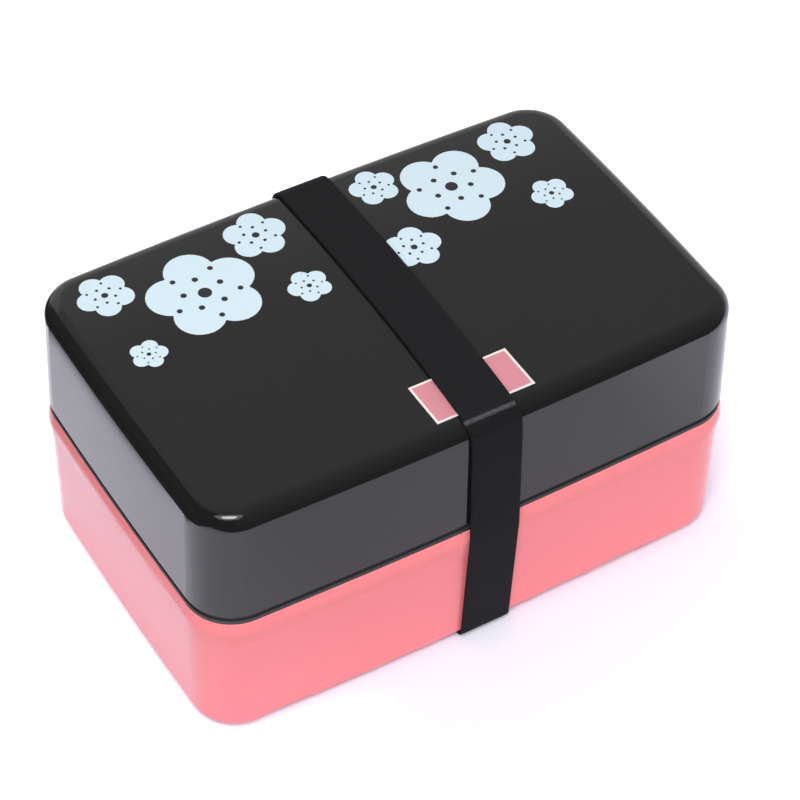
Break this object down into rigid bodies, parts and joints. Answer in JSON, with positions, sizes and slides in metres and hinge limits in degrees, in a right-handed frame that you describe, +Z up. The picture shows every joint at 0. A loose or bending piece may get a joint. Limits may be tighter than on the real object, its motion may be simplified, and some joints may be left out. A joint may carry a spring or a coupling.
{
  "type": "two-tier bento lunch box",
  "caption": "Two-tier rectangular bento lunch box with bowed sides, soft inner lids, a divider, a deep black cover over the upper tier, and an elastic band that holds the stack shut.",
  "frame": {"origin": "middle of the box's footprint, at table level", "axes": "+X along the length, +Z up, -Y to the long side that faces the viewer in the picture"},
  "size_m": [0.177, 0.1167, 0.0891],
  "materials": {
    "pink_shell": "semi-gloss coat",
    "black_tier": "satin",
    "black_cover": "semi-gloss coat",
    "soft_lid": "frosted",
    "silicone": "matte",
    "divider": "satin",
    "elastic": "woven",
    "thread": "sewn"
  },
  "bodies": {
    "lower_box": {"lower_tier": "pink_shell"},
    "lower_lid": {"lower_inner_lid": "soft_lid", "lower_seal": "silicone"},
    "upper_box": {"upper_tier": "black_tier"},
    "partition": {"divider": "divider"},
    "upper_lid": {"upper_inner_lid": "soft_lid", "upper_seal": "silicone"},
    "cover": {"outer_lid": "black_cover"},
    "band": {"elastic_band": "elastic", "band_stitching": "thread"}
  },
  "joints": [
    {"name": "lower_lid_lift", "type": "slide", "parent": "lower_box", "child": "lower_lid", "axis": [0, 0, 1], "range_m": [0, 0.06]},
    {"name": "upper_box_lift", "type": "slide", "parent": "lower_lid", "child": "upper_box", "axis": [0, 0, 1], "range_m": [0, 0.06]},
    {"name": "upper_lid_lift", "type": "slide", "parent": "upper_box", "child": "upper_lid", "axis": [0, 0, 1], "range_m": [0, 0.06]},
    {"name": "cover_lift", "type": "slide", "parent": "upper_lid", "child": "cover", "axis": [0, 0, 1], "range_m": [0, 0.06]},
    {"name": "partition_slide", "type": "slide", "parent": "upper_box", "child": "partition", "axis": [1, 0, 0], "range_m": [-0.065, 0.025]},
    {"name": "band_slide", "type": "slide", "parent": "lower_box", "child": "band", "axis": [1, 0, 0], "range_m": [0, 0.105], "deforming": ["elastic_band"]}
  ]
}
